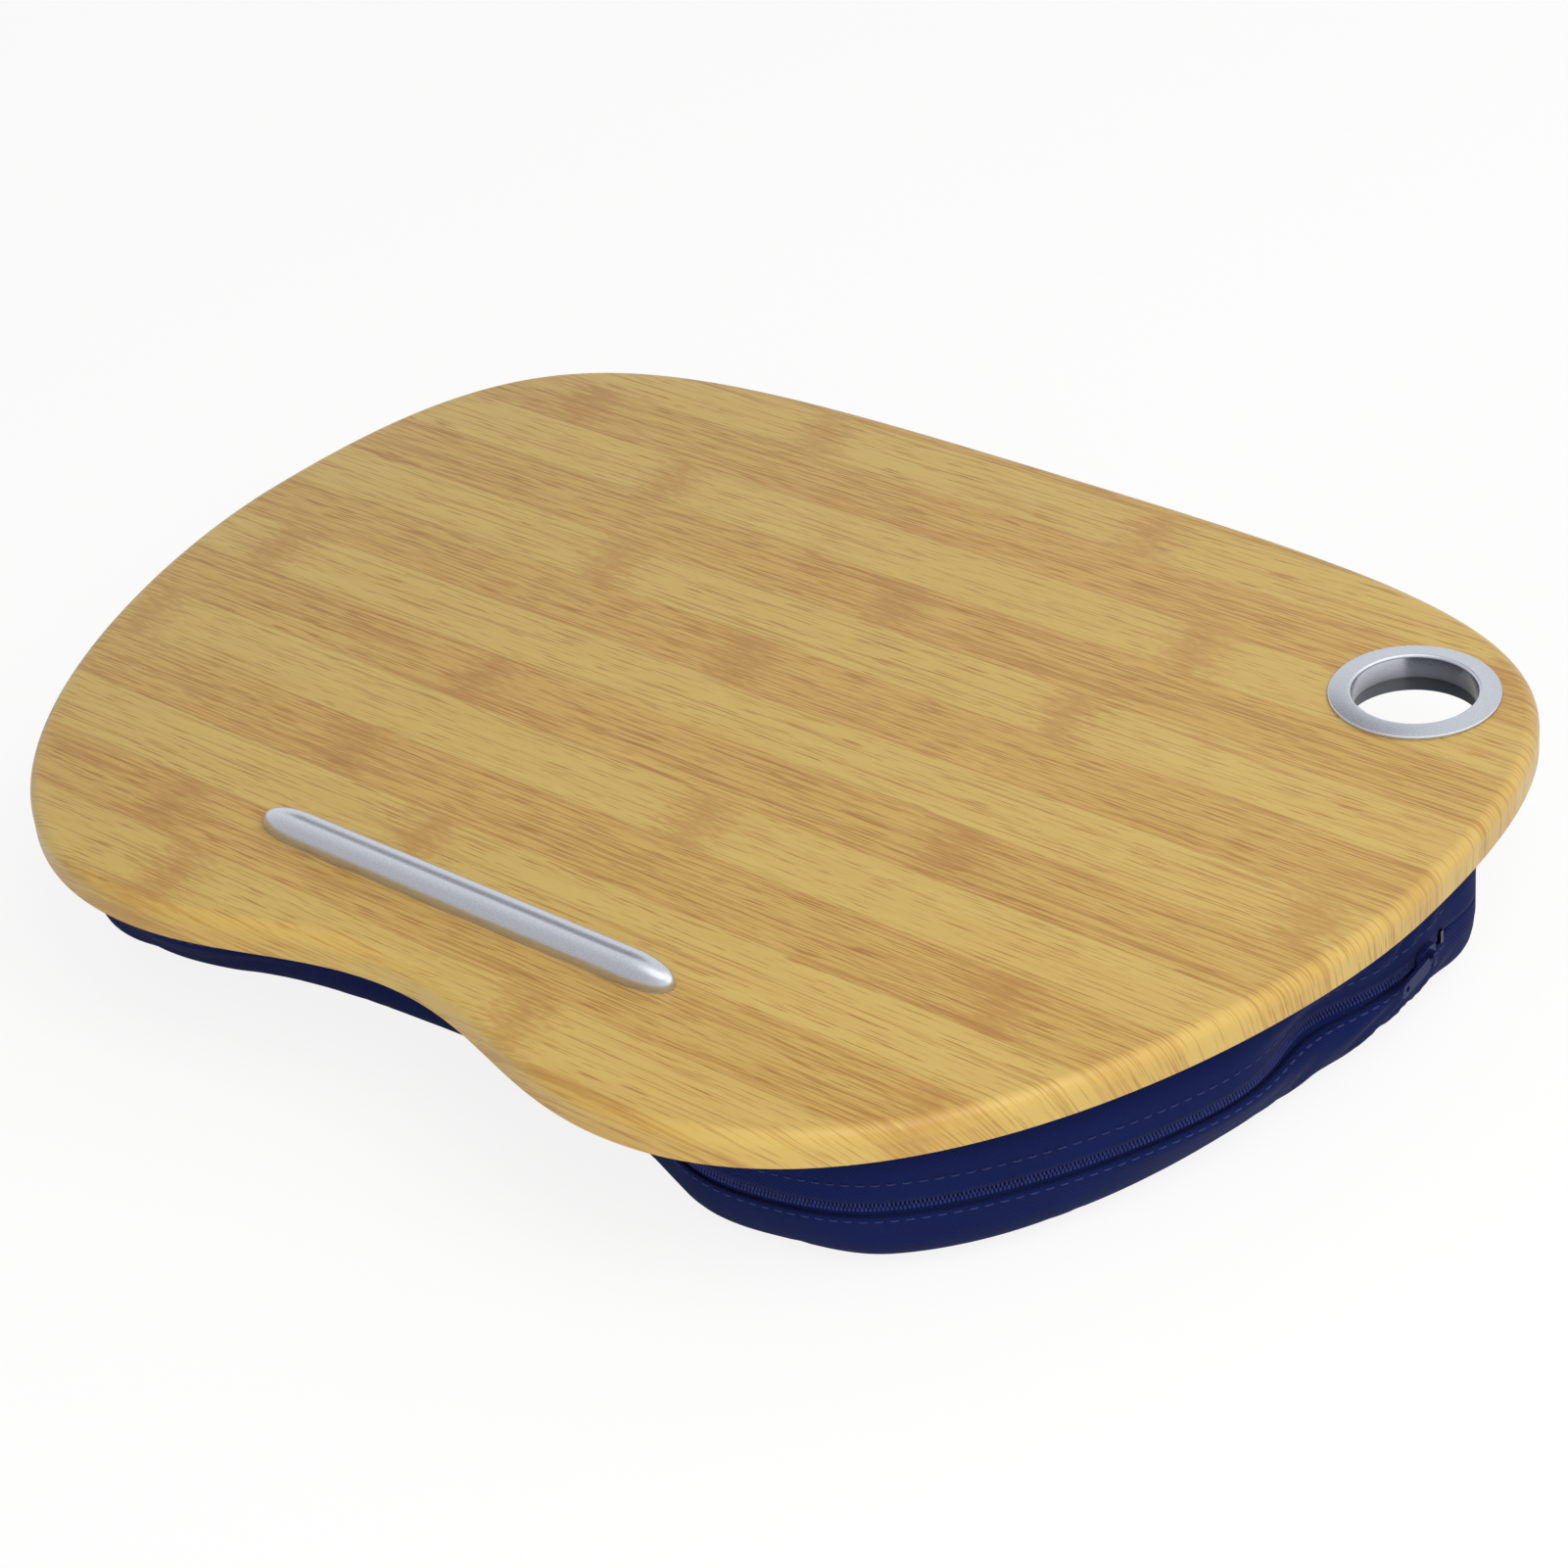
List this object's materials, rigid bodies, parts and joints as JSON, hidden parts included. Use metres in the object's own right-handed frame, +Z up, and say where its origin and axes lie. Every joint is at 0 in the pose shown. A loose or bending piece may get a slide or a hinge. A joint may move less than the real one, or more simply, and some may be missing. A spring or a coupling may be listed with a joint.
{
  "type": "laptop bed tray",
  "caption": "Kidney-shaped laptop bed tray: a foil-wrapped board with a cable ring and a laptop stop bar, on a bead-filled zipped cloth cushion.",
  "frame": {"origin": "on the floor under the middle of the board", "axes": "+X to the right along the board's width, +Y to the back edge, +Z up"},
  "size_m": [0.51, 0.385, 0.0802],
  "materials": {
    "mdf": "raw",
    "foil": "satin bamboo print",
    "silver": "satin silver paint",
    "steel": "zinc plated",
    "navy_enamel": "satin enamel",
    "navy_cloth": "matt twill",
    "navy_tape": "matt twill tape",
    "coil": "moulded coil",
    "bag_cloth": "matt nonwoven",
    "hook": "hook tape",
    "loop": "loop tape"
  },
  "bodies": {
    "tray": {"board_core": "mdf", "bamboo_foil": "foil", "ring_bezel": "silver", "ring_collar": "silver", "stop_bar": "silver", "stop_bar_screw_left": "steel", "stop_bar_screw_middle": "steel", "stop_bar_screw_right": "steel", "cover_upper": "navy_cloth", "cover_lower": "navy_cloth", "bead_bag": "bag_cloth", "zip_tape_upper": "navy_tape", "zip_tape_lower": "navy_tape", "zip_coil_upper": "coil", "zip_coil_lower": "coil", "zip_stop_side": "steel", "zip_stop_front": "steel", "hook_pad_back_left": "hook", "loop_pad_back_left": "loop", "hook_pad_back_right": "hook", "loop_pad_back_right": "loop", "hook_pad_front_left": "hook", "loop_pad_front_left": "loop", "hook_pad_front_right": "hook", "loop_pad_front_right": "loop"},
    "slider": {"zip_slider": "navy_enamel"},
    "pull": {"zip_pull": "navy_enamel"}
  },
  "joints": [
    {"name": "zip_run", "type": "hinge", "parent": "tray", "child": "slider", "pos_m": [-0.017, 0.03, 0.029], "axis": [0, 0, 1], "range_deg": [-44, 0]},
    {"name": "pull_swing", "type": "hinge", "parent": "slider", "child": "pull", "pos_m": [0.24549, 0.053, 0.029], "axis": [0, 0, 1], "range_deg": [0, 175]}
  ]
}
